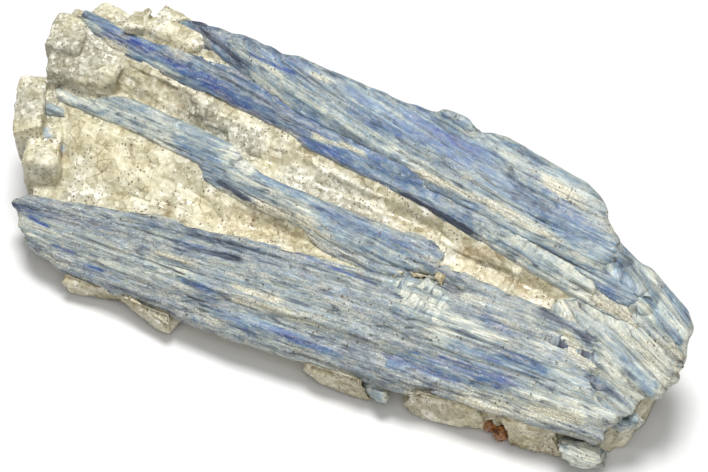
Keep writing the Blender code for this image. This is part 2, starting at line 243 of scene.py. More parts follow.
# Each fan: u at its two ends, v at its foot and head, and the slope of the blades at its four corners.
FANS = {
    "upper": ((-60, 70), (16, 35), (-0.24, -0.07, -0.30, -0.10)),
    "dark": ((-95, 80), (5, 26), (-0.08, -0.17, -0.07, -0.14)),
    "middle": ((-90, 25), (-5, 6), (-0.06, -0.08, -0.01, -0.02)),
    "lower": ((-90, 80), (-36, -5), (0.02, 0.08, 0.26, -0.06)),
    "end": ((45, 90), (-17, 22), (-0.24, -0.26, -0.45, -0.75)),
    "back": ((-60, 80), (-3, 13), (0.06, -0.03, 0.04, -0.08)),
}
print(len(FANS), "fans of blades")

# %% [markdown]
# ## Laths
# Kyanite splits into long flat laths that overlap like shingles. Each grid cell holds one lath with its
# own length, width, lean, level and tilt, and the highest lath at a point wins. That gives sharp steps
# along the blades and ragged broken ends, as on the real crystals.

# %% A field of overlapping laths
LATH_EDGE = 0.16  # width of a lath's bevelled side, as a share of its half width
LATH_END = 0.05  # the same for its end, as a share of its half length


def laths(grain, length, width, seed):
    """Height, tone and nearness to an edge, each from 0 to 1, at every point."""
    s, t = grain[:, 0], grain[:, 1]
    count = len(s)
    top, tone, edge = np.zeros(count), np.full(count, 0.5), np.ones(count)
    row = np.floor(t / width)
    for row_step in (-1, 0, 1):
        j = row + row_step
        shift = chance(seed, j)
        column = np.floor(s / length + shift)
        for column_step in (-1, 0, 1):
            i = column + column_step
            pick = [chance(seed + k, i, j) for k in range(1, 9)]
            middle_s = (i + 0.5 - shift + 0.5 * (pick[0] - 0.5)) * length
            middle_t = (j + 0.5 + 0.7 * (pick[1] - 0.5)) * width
            half_s = length * (0.40 + 0.45 * pick[2])
            half_t = width * (0.45 + 0.40 * pick[3])
            along = (s - middle_s) / half_s
            across = (t - middle_t - (pick[4] - 0.5) * 0.05 * (s - middle_s)) / half_t
            side = np.clip((1 - np.abs(across)) / LATH_EDGE, 0, 1)
            end = np.clip((1 - np.abs(along) - 0.06 * np.sin(9 * across + 7 * pick[5])) / LATH_END, 0, 1)
            shape = np.minimum(side, end)
            level = (0.35 + 0.5 * pick[6] + 0.15 * across * (2 * pick[7] - 1)) * shape
            wins = level > top
            top = np.where(wins, level, top)
            tone = np.where(wins, pick[5], tone)
            edge = np.where(wins, 1 - shape, edge)
    return top, tone, edge


top, tone, edge = laths(sample, 30, 3, 5)
print("laths reach %.2f, and %.0f%% of the surface is an edge" % (top.max(), 100 * (edge > 0.5).mean()))

# %% [markdown]
# ## Fractures in quartz
# Quartz has no cleavage. It breaks in shallow bowls, and the rims between them are sharp. Each cell
# here holds one tilted bowl, and the lowest bowl at a point wins, which leaves the rims standing.

# %% Bowl-shaped fractures
def bowls(points, size, seed, steepness=0.6):
    """Height in units of size, where neighbouring tilted bowls meet in sharp rims."""
    cell = np.floor(points / size)
    lowest = np.full(len(points), np.inf)
    for step in np.ndindex(3, 3, 3):
        address = [cell[:, k] + step[k] - 1 for k in range(3)]
        centre = [(address[k] + 0.5 + 0.8 * (chance(seed + k, *address) - 0.5)) for k in range(3)]
        away = [points[:, k] / size - centre[k] for k in range(3)]
        tilt = sum(away[k] * (chance(seed + 5 + k, *address) - 0.5) for k in range(3))
        height = 0.25 * sum(part * part for part in away) + 2 * steepness * tilt
        lowest = np.minimum(lowest, height + 0.25 * chance(seed + 9, *address))
    return lowest + 0.26


print("bowls from %.2f to %.2f" % (bowls(sample, 8, 3).min(), bowls(sample, 8, 3).max()))

# %% [markdown]
# ## Fine copies
# The plain solids have a few dozen to a few thousand flat faces. A fine surface needs small even ones,
# so each solid is copied, its loose triangles are joined, and a voxel remesh covers it with little
# squares. In a sheaf the blades have grown together, so the copy is first swollen, remeshed and shrunk
# again, which fills the narrow grooves between them. A few rounds of smoothing take the corners off.

# %% Copying a solid with fine squares
def applied(obj, name):
    """The mesh of obj with its modifiers applied, as a new object. obj is removed."""
    bpy.context.view_layer.update()
    mesh = bpy.data.meshes.new_from_object(obj.evaluated_get(bpy.context.evaluated_depsgraph_get()))
    bpy.data.objects.remove(obj)
    made = bpy.data.objects.new(name, mesh)
    bpy.context.scene.collection.objects.link(made)
    return made


def remesh(obj, square):
    """Covers obj with even squares."""
    made = obj.modifiers.new("squares", "REMESH")
    made.mode, made.voxel_size = "VOXEL", square * MM


def swell(obj, thickness):
    """Moves the surface of obj outwards, or inwards where thickness is negative."""
    made = obj.modifiers.new("swell", "DISPLACE")
    made.strength, made.mid_level = thickness * MM, 0.0


def soften(obj, rounds):
    """Takes the corners off obj, a little with each round."""
    made = obj.modifiers.new("soften", "SMOOTH")
    made.factor, made.iterations = 0.5, rounds


FILL_SQUARES = (0.7, 0.6)  # squares before and after the copy is swollen, in millimetres


def fine_copy(node, name, square, rounds, fill=0.0):
    """A closed copy of a solid in even squares, its grooves filled and its corners softened."""
    bm = bmesh.new()
    bm.from_mesh(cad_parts[node].data)
    bmesh.ops.remove_doubles(bm, verts=bm.verts, dist=0.001 * MM)
    obj = bpy.data.objects.new(name + " plain", bpy.data.meshes.new(name))
    bm.to_mesh(obj.data)
    bm.free()
    bpy.context.scene.collection.objects.link(obj)
    if fill:
        remesh(obj, FILL_SQUARES[0])
        swell(obj, fill)
        remesh(obj, FILL_SQUARES[1])
        soften(obj, 3)
        swell(obj, -fill)
    remesh(obj, square)
    soften(obj, rounds)
    return applied(obj, name)


print("grooves are filled on squares of", FILL_SQUARES, "mm")

# %% [markdown]
# ## Points, paint and distances
# Moving vertices one by one is slow, so NumPy reads and writes them all at once. Numbers that a material
# needs are painted on the vertices as attributes. A tree of a solid's faces quickly finds its nearest
# point, and a ray through the rock tells how thick it is.

# %% Reading, moving and painting points
def points_of(obj):
    """Vertex positions and normals. Positions are in millimetres."""
    count = len(obj.data.vertices)
    places, normals = np.empty(count * 3), np.empty(count * 3)
    obj.data.vertices.foreach_get("co", places)
    obj.data.vertex_normals.foreach_get("vector", normals)
    return places.reshape(-1, 3) / MM, normals.reshape(-1, 3)


def move_points(obj, places):
    """Puts the vertices at these places, in millimetres."""
    obj.data.vertices.foreach_set("co", (places * MM).ravel())
    obj.data.update()


def paint(obj, name, values):
    """Keeps a number, or three, on every vertex, for the material to read."""
    kind = "FLOAT" if values.ndim == 1 else "FLOAT_VECTOR"
    layer = obj.data.attributes.new(name, kind, "POINT")
    layer.data.foreach_set("value" if kind == "FLOAT" else "vector", values.astype(np.float32).ravel())


def thin_out(obj, triangles):
    """Merges the flattest faces until about this many triangles are left."""
    now = sum(len(face.vertices) - 2 for face in obj.data.polygons)
    if now > triangles:
        merge = obj.modifiers.new("thin out", "DECIMATE")
        merge.ratio = triangles / now
        name = obj.name
        obj.name = name + " full"
        obj = applied(obj, name)
    obj.data.shade_smooth()
    return obj


print("ready to copy", len(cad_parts), "plain solids")

# %% Distances to the plain solids
def tree_of(node):
    """A plain solid, in millimetres, ready to be asked for its nearest point."""
    bm = bmesh.new()
    bm.from_mesh(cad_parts[node].data)
    bmesh.ops.scale(bm, vec=(1 / MM, 1 / MM, 1 / MM), verts=bm.verts)
    tree = BVHTree.FromBMesh(bm)
    bm.free()
    return tree


def close_to(places, node, reach):
    """The numbers of the points inside a node's box with this margin."""
    low, high = (np.array(corner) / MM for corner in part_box(node))
    return np.flatnonzero(np.all((places > low - reach) & (places < high + reach), axis=1))


def nearness(places, nodes, reach):
    """1 where a point touches one of these plain solids, falling to 0 at the reach, in millimetres."""
    share = np.zeros(len(places))
    for node in nodes:
        tree = tree_of(node)
        for k in close_to(places, node, reach):
            away = tree.find_nearest(places[k], reach)[3]
            if away is not None:
                share[k] = max(share[k], 1 - away / reach)
    return share


JUST_BELOW = 0.02  # how far under the surface a look into the rock starts, as a share of the full depth


def roominess(obj, places, normals, full):
    """1 where the rock is at least this thick below a point, less where it is thin, in millimetres."""
    faces = [list(face.vertices) for face in obj.data.polygons]
    tree = BVHTree.FromPolygons((places / full).tolist(), faces)
    room = np.ones(len(places))
    for k in range(len(places)):
        start = Vector(places[k] / full - JUST_BELOW * normals[k])
        away = tree.ray_cast(start, Vector(-normals[k]), 1.0)[3]
        if away is not None:
            room[k] = away
    return ease(room)


print("of the sample, %d points lie near the garnets" % len(close_to(sample, "garnet_left", 10)))

# %% [markdown]
# ## Colour along the blades
# Kyanite's blue comes and goes in streaks along each blade. Every point gets three numbers: how blue it
# is, how much slate grey lies over it, and how much cream stain. A streak is a line on the face with a
# half width and one of a few named tints, and its border is frayed by noise that is stretched along the
# grain. The streaks of each sheaf are listed one by one.

# %% Tints
# Each tint: blue, slate, stain.
TINTS = {
    "indigo": (1.0, 0.0, 0.0),
    "deep": (0.72, 0.06, 0.0),
    "mid": (0.58, 0.10, 0.04),
    "light": (0.42, 0.05, 0.05),
    "pale": (0.16, 0.05, 0.10),
    "white": (0.0, 0.0, 0.0),
    "slate": (0.60, 0.75, 0.05),
    "grey": (0.32, 0.45, 0.20),
    "black": (0.70, 1.0, 0.0),
    "cream": (0.10, 0.05, 0.80),
    "ochre": (0.15, 0.05, 1.0),
}
print(len(TINTS), "tints")

# %% Streaks of the two upper sheaves
# Each streak: tint, u and v of its two ends, half width. Later ones lie over the earlier ones.
UPPER_STREAKS = (
    ("mid", -28, 30, 14, 28, 4.5),
    ("deep", -24, 28, -4, 26.5, 1.6),
    ("deep", 2, 31, 22, 27.4, 2.8),
    ("light", 27, 26, 62, 20, 4.5),
    ("mid", 48, 24.5, 60, 21.5, 1.8),
    ("pale", 34, 19, 66, 13, 2.6),
    ("slate", -67, 36, -18, 35.4, 0.8),
    ("pale", -49, 33, -16, 27.5, 2.6),
    ("indigo", -43, 32.9, -31, 32.2, 0.5),
    ("slate", -62, 34.6, -38, 28, 2.2),
    ("slate", -42, 29, -14, 24.5, 1.2),
    ("cream", -39, 26.6, -31, 24.2, 1.1),
    ("cream", -25.7, 33.8, -20.6, 33.5, 0.7),
    ("deep", -11, 32, -5, 30.5, 0.8),
    ("pale", -16, 26, 9, 20.5, 2.6),
    ("mid", 1, 33.5, 27, 28.5, 2.0),
    ("indigo", 13, 30, 27, 28.4, 0.4),
    ("cream", 0, 19.8, 34, 19.2, 0.8),
    ("cream", 34, 19.2, 52, 17, 1.2),
    ("ochre", 9, 19.0, 14.5, 19.4, 0.6),
    ("grey", 19, 33.8, 33, 30, 1.8),
    ("grey", 33, 33, 43, 28.5, 1.8),
    ("black", 40, 29.6, 43.5, 28, 0.9),
    ("cream", 44, 29.4, 56, 27, 1.4),
    ("grey", 52, 31, 63, 23, 1.8),
    ("deep", 6, 32, 26, 29, 4.0),
    ("indigo", 13, 31.2, 22, 30, 1.2),
    ("pale", -40, 28.4, -18, 26.6, 2.2),
    ("mid", 28, 25.5, 54, 19, 2.6),
)
DARK_STREAKS = (
    ("light", 14, 15, 40, 13.5, 4.0),
    ("pale", 46, 12, 82, 3, 7.0),
    ("deep", -64, 24.4, -25, 17.8, 2.8),
    ("deep", -24, 17, 6, 15.5, 2.4),
    ("slate", -12, 14.6, 10, 13.2, 1.0),
    ("light", -80, 23.2, -56, 20.6, 0.9),
    ("light", -5, 16.5, 50, 10, 2.6),
    ("deep", -91, 25.6, -40, 21.5, 1.5),
    ("indigo", -77, 25.3, -70, 25.0, 0.5),
    ("indigo", -60, 24, -45, 22.6, 0.5),
    ("slate", -59, 26.4, -37, 23.2, 1.1),
    ("slate", -44, 23.8, -8, 20.2, 1.2),
    ("pale", -94, 26.2, -88, 24.8, 1.3),
    ("cream", -18, 18.9, -5.7, 19.6, 0.7),
    ("pale", 42, 12.5, 80, 4.5, 4.0),
    ("grey", 50, 9.5, 66, 6.5, 1.0),
    ("cream", 60, 7, 80, 4, 1.6),
    ("pale", 30, 12.4, 46, 9.4, 2.2),
    ("pale", 44, 8.4, 62, 5, 2.4),
    ("black", 10, 12.9, 28, 10.9, 1.5),
)
print(len(UPPER_STREAKS) + len(DARK_STREAKS), "streaks")

# %% Streaks of the middle and lower sheaves
MIDDLE_STREAKS = (
    ("white", -94, 4, -76, 4.2, 3.4),
    ("grey", -84, 3.6, -70, 4.4, 0.9),
    ("pale", -78, 4.6, -66, 4.2, 2.4),
    ("light", -72, 6.6, -40, 6.0, 3.0),
    ("pale", -80, 5.6, -56, 5.0, 3.4),
    ("white", -76, 2.4, -58, 2.0, 1.8),
    ("deep", -53, 4.6, -42, 4.0, 1.2),
    ("white", -38.5, 6.0, -32, 4.4, 2.4),
    ("pale", -34, 0.4, -8, -1, 2.8),
    ("cream", -32, -3.2, -6, -2.8, 2.2),
    ("slate", -44, 0.4, -31, -3.0, 1.0),
    ("mid", -29, 3.4, -17, 2.8, 1.2),
    ("deep", -11, 1.6, 3, 0.4, 0.9),
    ("mid", -8, 1.6, 14, -0.4, 2.4),
    ("light", -8, -1.6, 17, -3.8, 1.6),
)
LOWER_STREAKS = (
    ("pale", 16, -7, 32, -16, 5.0),
    ("grey", -26, -22.6, 4, -21.8, 4.6),
    ("pale", 54, -23, 82, -19, 2.6),
    ("slate", -53, -18.5, -22, -14.8, 1.6),
    ("deep", -41, -20, -26, -18.6, 1.2),
    ("deep", -24, -12.6, -18, -12.4, 1.4),
    ("slate", -18, -10, 15, -5.2, 1.2),
    ("indigo", -15.5, -11.6, 11, -11.2, 0.4),
    ("grey", -26, -19.5, -6, -19.6, 3.0),
    ("ochre", -46, -25, -39.5, -24.4, 0.8),
    ("ochre", -23, -25.6, -12, -25.0, 0.9),
    ("cream", -20, -28.5, 2, -24.8, 1.3),
    ("pale", -48, -27, -31, -29, 2.0),
    ("deep", -36, -29.2, -30, -29.6, 1.1),
    ("mid", -34, -33, -16, -33.6, 1.8),
    ("mid", -16, -32, 8, -31.6, 1.2),
    ("deep", -8, -31.6, 0, -31.8, 0.9),
    ("slate", -92, -28, -80, -27.4, 1.0),
    ("pale", -88, -32, -76, -35, 1.6),
    ("indigo", -84.5, -29.6, -80, -29.8, 0.5),
    ("indigo", -75, -34, -70, -34.0, 0.4),
    ("indigo", -65.5, -35.6, -60.5, -35.2, 0.4),
    ("deep", 38, -17.5, 62, -15.5, 1.8),
    ("deep", 24, -27, 52, -22, 2.6),
    ("indigo", 34, -22.2, 42, -21.4, 0.4),
    ("deep", 42, -8.5, 53, -10.8, 1.8),
    ("pale", 64, -15, 84, -17, 3.0),
    ("pale", 37, -14, 61, -9, 1.0),
    ("black", 54, -1.4, 67, -3.8, 1.3),
    ("black", 34, -13.6, 40, -14.6, 0.8),
    ("cream", 62, -5, 71, -10, 1.8),
    ("white", 14, -3.2, 30, -8.6, 2.6),
    ("cream", 44, -29, 72, -24, 2.2),
    ("slate", -42, -22, -26, -18, 1.6),
    ("white", 20, -11, 44, -12.6, 2.4),
)
print(len(MIDDLE_STREAKS) + len(LOWER_STREAKS), "streaks")

# %% Streaks of the right end and the back
END_STREAKS = (
    ("cream", 84, 2, 91, 0.4, 1.4),
    ("black", 55.5, -0.6, 69, -5.4, 1.7),
    ("black", 63, -6.5, 70.5, -10, 1.3),
    ("slate", 72, -13, 80, -15, 1.2),
    ("light", 76, -4, 86, -9, 1.6),
)
END_BLADE_STREAKS = (
    ("light", 68, 17, 88, 2, 3.0),
    ("pale", 76, 17.5, 92, 4, 0.9),
    ("white", 78, 9, 82, 5, 0.8),
)
BACK_STREAKS = (
    ("deep", -30, 9, 5, 11, 1.6),
    ("pale", 5, 5, 40, 3, 2.0),
    ("slate", 20, 9, 58, 6, 1.6),
    ("mid", -45, 4, -20, 5, 1.6),
)
print(len(END_STREAKS) + len(END_BLADE_STREAKS) + len(BACK_STREAKS), "streaks")

# %% Laying streaks over a sheaf
FRAY = (14.0, 0.7, 3.0)  # size of the noise that frays a streak, along, across and out of the grain


def reach_of(streak, places, grain):
    """1 on a streak, 0 away from it, with a frayed border."""
    _, u0, v0, u1, v1, half = streak
    u, v, run, rise = places[:, 0] - u0, places[:, 1] - v0, u1 - u0, v1 - v0
    share = np.clip((u * run + v * rise) / (run * run + rise * rise), 0, 1)
    taper = min(max(0.4 * half, 0.4), 1.0)  # a broad streak has blunt ends
    off = np.hypot((u - share * run) * taper, v - share * rise) / half
    return ease((1.9 - off - 2.6 * (clouds(grain, FRAY, 71, 4) - 0.35)) / 1.5)


def tinted(places, grain, base, streaks):
    """Blue, slate and stain at every point: the base tint with the streaks laid over it in turn."""
    mix = np.tile(np.array(base, dtype=float), (len(places), 1))
    for streak in streaks:
        reach = reach_of(streak, places, grain)[:, None]
        mix += (np.array(TINTS[streak[0]]) - mix) * reach
    return mix


blues = tinted(sample, sample, TINTS["pale"], LOWER_STREAKS)[:, 0]
print("streaks turn a pale sheaf's blue into %.2f to %.2f" % (blues.min(), blues.max()))

# %% [markdown]
# ## Where two minerals meet
# The crystals grew into each other, so no gap is left between them, but a plain solid can lie a little
# lower than its neighbour. Its points beside the neighbour are lifted nearly to the neighbour's top and
# pushed against its side, and points further away less and less. Under a blade nothing changes.

# %% Drawing one surface up to the next
LIP_REACH = 3.6  # how far from a blade the surface starts to rise
LIP_BELOW = 0.45  # how much lower than the blade it stays
LIP_MOST = 4.0  # blades that stand higher than this keep their free side
BITE = 1.0  # how far the surface is pushed into the side of the blade
# The crest of the rock, past which nothing is lifted: u and v of its corners.
RIDGE = ((-104, 28.5), (-70, 28.5), (-50, 30), (20, 31), (60, 26), (98, 12))


def drawn_up(places, nodes):
    """The points, lifted and pushed against the blades beside them."""
    out = Vector(face_out(on_front))
    local = on_front(places)
    before_crest = local[:, 1] < np.interp(local[:, 0], *zip(*RIDGE))
    lifted, nearest = places.copy(), np.full(len(places), LIP_REACH)
    for node in nodes:
        tree = tree_of(node)
        for k in close_to(places, node, LIP_REACH):
            start = Vector(places[k])
            side, _, _, away = tree.find_nearest(start, nearest[k])
            if side is None or not before_crest[k] or tree.ray_cast(start, out)[0] is not None:
                continue
            inward = side - start
            inward = (inward - inward.dot(out) * out).normalized()
            top = tree.ray_cast(side + 1.2 * inward + 20 * out, -out)[0]
            if top is None:
                continue
            rise = (top - start).dot(out) - LIP_BELOW
            if 0 < rise < LIP_MOST + LIP_BELOW:
                nearest[k] = away
                close = float(ease(1.6 - away / 1.2))
                lift = rise * float(ease(1.15 - away / LIP_REACH)) * out
                lifted[k] = start + lift + BITE * close * inward
    return lifted


print("a surface rises over", LIP_REACH, "mm beside a higher one")

# %% [markdown]
# ## The surface of a sheaf
# A split crystal shows three sizes of laths, with fine fibres on them. Here and there a crystal lies
# across the others, so its grain is turned a quarter. Two sheaves have blades that are broader than
# their plain solids, so part of each is moved up or down the slope before anything is carved in it.

# %% Relief of the laths
LATH_SIZES = ((38.0, 4.2, 0.90), (17.0, 1.9, 0.42), (9.0, 0.95, 0.18))  # length, width, height
# Painted shade: the edges of the laths are darkened, more for the larger laths.
LATH_GAP_SHADE = (0.5, 0.35, 0.15)  # how dark the edges of each size of lath are
LATH_BLUES = (0.20, 0.16, 0.06)  # how much the laths of each size differ in blue
FIBRE_HEIGHT = 0.06


def relief_of(places, grain, seed):
    """Height of the laths, the painted shade at their edges, and three tones, one for each size of lath."""
    height, crevice_shade, tones = np.zeros(len(places)), np.zeros(len(places)), []
    for k, (length, width, rise) in enumerate(LATH_SIZES):
        wavy = grain + (0.6 * width * (clouds(grain, (20, 6, 6), seed + 31 * k, 2) - 0.5))[:, None]
        wavy[:, 1] += 0.8 * grain[:, 2]  # the sides of a blade show its layers too
        top, tone, edge = laths(wavy, length, width, seed + 7 * k)
        height += rise * (top - 0.55)
        crevice_shade += edge * LATH_GAP_SHADE[k]
        tones.append(tone - 0.5)
    height += FIBRE_HEIGHT * (clouds(grain, (9, 0.8, 0.8), seed + 51, 2) - 0.5) * 2
    height += 0.5 * (clouds(places, 6, seed + 61, 2) - 0.5)
    return height, crevice_shade, tones


print("the relief is %.2f mm deep" % np.ptp(relief_of(sample, sample, 11)[0]))

# %% Crystals that lie across, and broader blades
# Where a crystal of the sheaf lies across the others: u and v of its two ends, and half width.
CROSSWISE = {
    "lower_blades": ((16, -3.5, 22, -2.6, 2.4), (23, -6, 30, -9, 2.6), (17, -9, 26, -13, 2.0)),
}


def turned_grain(grain, local, patches):
    """The grain, turned a quarter where a crystal lies across the others."""
    for u0, v0, u1, v1, half in patches:
        inside = reach_of(("", u0, v0, u1, v1, half), local, local) > 0.5
        grain[inside] = grain[inside] @ ((0.2, -1, 0), (1, 0.2, 0), (0, 0, 1))
    return grain


# Where a blade is broader than its plain solid: u and v of the two ends of a line along it, and how far
# what lies past that line moves up the slope, or down it where the number is negative.
SPREAD_EASE = 14  # how far from its two ends a broader part reaches its full breadth
SPREADS = {
    "middle_blades": ((-84, 4.6, -27, 4.0, 3.2), (-16, 2.0, 22, -0.7, -4.0)),
    "dark_blue_blades": ((-74, 25.4, -30, 19.6, 2.0),),
}


def spread(places, local, rows, face):
    """The points of a sheaf, with parts of its blades made broader."""
    out = face_out(face)
    up = np.cross(out, (1, 0, 0))
    for u0, v0, u1, v1, reach in rows:
        u, v = local[:, 0], local[:, 1]
        inside = ease((u - u0) / SPREAD_EASE) * ease((u1 - u) / SPREAD_EASE)
        past = ease((v - np.interp(u, (u0, u1), (v0, v1))) * np.sign(reach) + 0.5)
        places = places + (inside * past)[:, None] * (reach * up + 0.4 * out)
    return places


print(len(SPREADS), "sheaves have broader blades")

# %% [markdown]
# ## Dressing a sheaf
# One function dresses any sheaf. It takes a fine copy of the solid, finds the grain, raises the relief,
# draws the border up to its neighbours, frays the broken ends, and paints the numbers that the material
# needs. The small chips have no long laths, so they are chipped all over as well.

# %% Dressing a sheaf of kyanite
GROWTH = 0.35  # the copies swell by this much, in millimetres, to close the parting between minerals
SHEAF_SQUARE = 0.38  # size of the fine squares on a sheaf
END_FRAY = 2.4  # how far the laths stand out or back at a broken end
END_TINT = (-0.30, 0.15, 0.10)  # what a broken end adds to blue, slate and stain
CHIP_SIZE = 2.4  # width of the bowls on a jagged piece
TRIANGLES = 190000  # the most that one piece may have
# The sheaves that each sheaf is drawn up to.
HIGHER = {
    "dark_blue_blades": ("upper_blades",),
    "end_blade": ("upper_blades", "dark_blue_blades"),
    "end_splinters": ("upper_blades", "dark_blue_blades", "lower_blades", "end_blade"),
    "lower_blades": ("middle_blades",),
}


def dressed_blades(node, fan, base, streaks, seed, face=on_front, fill=3.0, fray=1.0, relief=1.0, jagged=0):
    """The fine, coloured copy of one sheaf. fray, relief and jagged say how strong each of them is."""
    obj = fine_copy(node, node + "_laths", SHEAF_SQUARE, 2, fill)
    places, normals = points_of(obj)
    if node in SPREADS:
        move_points(obj, spread(places, face(places), SPREADS[node], face))
        places, normals = points_of(obj)
    local = face(places)
    grain = grain_of(local, FANS[fan])
    height, crevice_shade, tones = relief_of(places, grain, seed)
    if jagged:
        height += jagged * bowls(places, CHIP_SIZE, seed + 71)
    at_end = np.clip(np.abs(normals[:, 0]) * 1.6 - 0.5, 0, 1) * np.sign(normals[:, 0])
    moved = drawn_up(places, HIGHER.get(node, ())) + normals * (GROWTH + relief * height)[:, None]
    moved[:, 0] += fray * END_FRAY * at_end * (tones[0] + 0.8 * tones[1])
    move_points(obj, moved)
    mix = tinted(local, grain, base, streaks)
    mix[:, 0] += sum(share * tone for share, tone in zip(LATH_BLUES, tones))
    mix[:, 0] += 0.55 * (clouds(grain, (26, 4, 4), seed + 81) - 0.5)
    mix[:, 1] += 0.50 * (clouds(grain, (16, 2.2, 3), seed + 91) - 0.48) + 0.15 * tones[1]
    mix[:, 2] += 1.3 * np.maximum(clouds(grain, (12, 3, 4), seed + 101) - 0.53, 0)
    mix += np.abs(at_end)[:, None] * END_TINT
    border = nearness(places, ("quartz_matrix",), 2.5) * (normals @ face_out(face) > 0.2)
    border *= ease(3.0 * (clouds(places, 9, seed + 111, 2) - 0.36))
    for name, values in zip(("blue", "slate", "stain"), mix.T):
        paint(obj, name, np.clip(values, 0, 1))
    paint(obj, "grain", turned_grain(grain, local, CROSSWISE.get(node, ())))
    # Painted shade: how much the material darkens the edges of the laths.
    paint(obj, "crevice_shade", np.clip(crevice_shade, 0, 1))
    paint(obj, "border", border)
    obj = thin_out(obj, TRIANGLES)
    print(obj.name, len(obj.data.polygons), "faces")
    return obj


# %% Every sheaf and chip
# Each row: node, fan, base tint, streaks, seed, and what isn't as usual.
SHEAVES = (
    ("upper_blades", "upper", (0.44, 0.16, 0.12), UPPER_STREAKS, 11, dict(relief=0.8, fray=0.6)),
    ("dark_blue_blades", "dark", (0.64, 0.16, 0.04), DARK_STREAKS, 12, dict(fray=0.6)),
    ("middle_blades", "middle", (0.38, 0.16, 0.18), MIDDLE_STREAKS, 13, dict(fray=0.4)),
    ("lower_blades", "lower", (0.46, 0.36, 0.34), LOWER_STREAKS, 14, dict(fray=0.5)),
    ("end_blade", "end", (0.32, 0.12, 0.06), END_BLADE_STREAKS, 15, dict(fray=0, relief=0.25)),
    ("end_splinters", "end", (0.14, 0.14, 0.20), END_STREAKS, 16, dict(fray=0.6)),
    ("back_blades", "back", (0.50, 0.15, 0.08), BACK_STREAKS, 17, dict(face=on_back)),
    ("left_tip_blade", "middle", (0.36, 0.55, 0.05), (), 18, dict(fill=0, fray=0, relief=0.5, jagged=0.6)),
    ("front_chip", "lower", (0.34, 0.05, 0.02), (), 19, dict(fill=0, fray=0.6, relief=0.7, jagged=1.6)),
    ("lower_chip", "lower", (0.18, 0.0, 0.0), (), 20, dict(fill=0, fray=1.0, relief=0.7, jagged=2.0)),
    ("right_chip", "lower", (0.12, 0.0, 0.0), (), 21, dict(fill=0, fray=0.8, relief=0.7, jagged=2.0)),
)
pieces = {row[0]: dressed_blades(*row[:5], **row[5]) for row in SHEAVES}
print(len(pieces), "sheaves and chips")

# %% [markdown]
# ## Dressing the quartz
# The quartz gets large and small bowls, stepped ledges and a sugary unevenness that comes and goes. At
# the left end it breaks in upright columns instead. What stands on the floor stays flat, and low on the
# back the corners are worn round. Grey patches are clearer quartz, the stained ones are yellow with
# iron, rust lies along a few lines and beside the blades, and the hollows are darkened brown with painted
# shade and dirt.

# %% Shape of the broken quartz
QUARTZ_BOWLS = ((11.0, 0.28), (5.0, 0.42), (2.2, 0.38))  # size, and height as a share of the size
LEDGE_HEIGHT = 0.45
COLUMNS_FROM = -76.0  # left of this the quartz stands in columns
UPRIGHT = (1, 1, 0.16)  # bowls that are stretched upwards are ribs of a column
THIN_UPRIGHT = (1, 1, 0.12)
WORN_TOP, WORN_FRONT, WORN_ROUNDS = 13.0, 10.0, 18  # how high and how far forward it is worn, and how much


def ledges(points, size, steps, seed):
    """A staircase cut out of smooth noise, with level treads and short steep risers."""
    level = clouds(points, size, seed, 2) * steps
    whole = np.floor(level)
    return whole + ease((level - whole - 0.5) * 3.5 + 0.5) - 0.5 * steps


def quartz_height(places, touching):
    """How far the broken surface stands out, in millimetres."""
    sugary = ease(3.0 * (clouds(places, 10, 205, 2) - 0.36))
    height = 1.6 * (clouds(places, 14, 201, 3) - 0.5) + LEDGE_HEIGHT * ledges(places, 20, 6, 203)
    for k, (size, share) in enumerate(QUARTZ_BOWLS):
        part = share * size * bowls(places, size, 211 + 13 * k)
        height += part * (0.35 + 0.65 * sugary if k == 2 else 1)
    height += 0.20 * sugary * (clouds(places, 1.1, 231, 2) - 0.5)
    height *= 1 - 0.65 * ease(1.6 * touching - 0.3)
    columns = 2.2 * bowls(places * UPRIGHT, 5.0, 271) + 0.9 * bowls(places * THIN_UPRIGHT, 2.2, 277)
    columns += 0.4 * (clouds(places, 3, 273) - 0.5)
    return height + (columns - height) * ease((COLUMNS_FROM - places[:, 0]) / 6) * 0.7


def worn_feet(obj):
    """The copy with its square corners rounded off low on the back."""
    places, _ = points_of(obj)
    low = np.flatnonzero((places[:, 2] < WORN_TOP) & (places[:, 1] > WORN_FRONT))
    obj.vertex_groups.new(name="feet").add(low.tolist(), 1.0, "REPLACE")
    soften(obj, WORN_ROUNDS)
    obj.modifiers["soften"].vertex_group = "feet"
    return applied(obj, "quartz_rock")


print("the quartz is %.1f mm rough" % np.ptp(quartz_height(sample, np.zeros(len(sample)))))

# %% Patches of rust, iron, blue and clear quartz
# Rust: the two ends of a line on the rock, in X, Y and Z, and how far the rust spreads from it.
RUST_LINES = (
    ((-83, -9, 33), (-83, -10, 14), 1.5),
    ((-66, -1, 31), (-64, -5, 29), 0.9),
    ((-50, -11, 24), (-49, -12, 23), 1.6),
    ((30, 5, 33), (40, 8, 34), 2.2),
    ((-30, 6, 35), (-16, 1, 31), 1.0),
    ((-72, 10, 39), (-60, 6, 36), 1.2),
    ((44, 3, 31), (53, 1, 30), 1.5),
)
# Likewise for blue quartz, clear grey quartz, and quartz that iron has stained yellow.
BLUE_LINES = (((-92, -7, 29), (-85.5, -8.5, 27), 2.0),)
CLEAR_LINES = (
    ((-54, 11, 38), (-36, 9, 37), 5.0),
    ((-93, 8, 42), (-84, 17, 44), 8.0),
    ((-20, 4, 34), (5, 2, 32), 4.5),
    ((-97, -3, 30), (-92, -9, 10), 7.0),
)
IRON_LINES = (
    ((-78, -3, 31), (-58, -6, 28), 5.0),
    ((-40, -8, 26), (-22, -9, 25), 4.0),
    ((44, -32, 9), (64, -31, 7), 6.0),
)


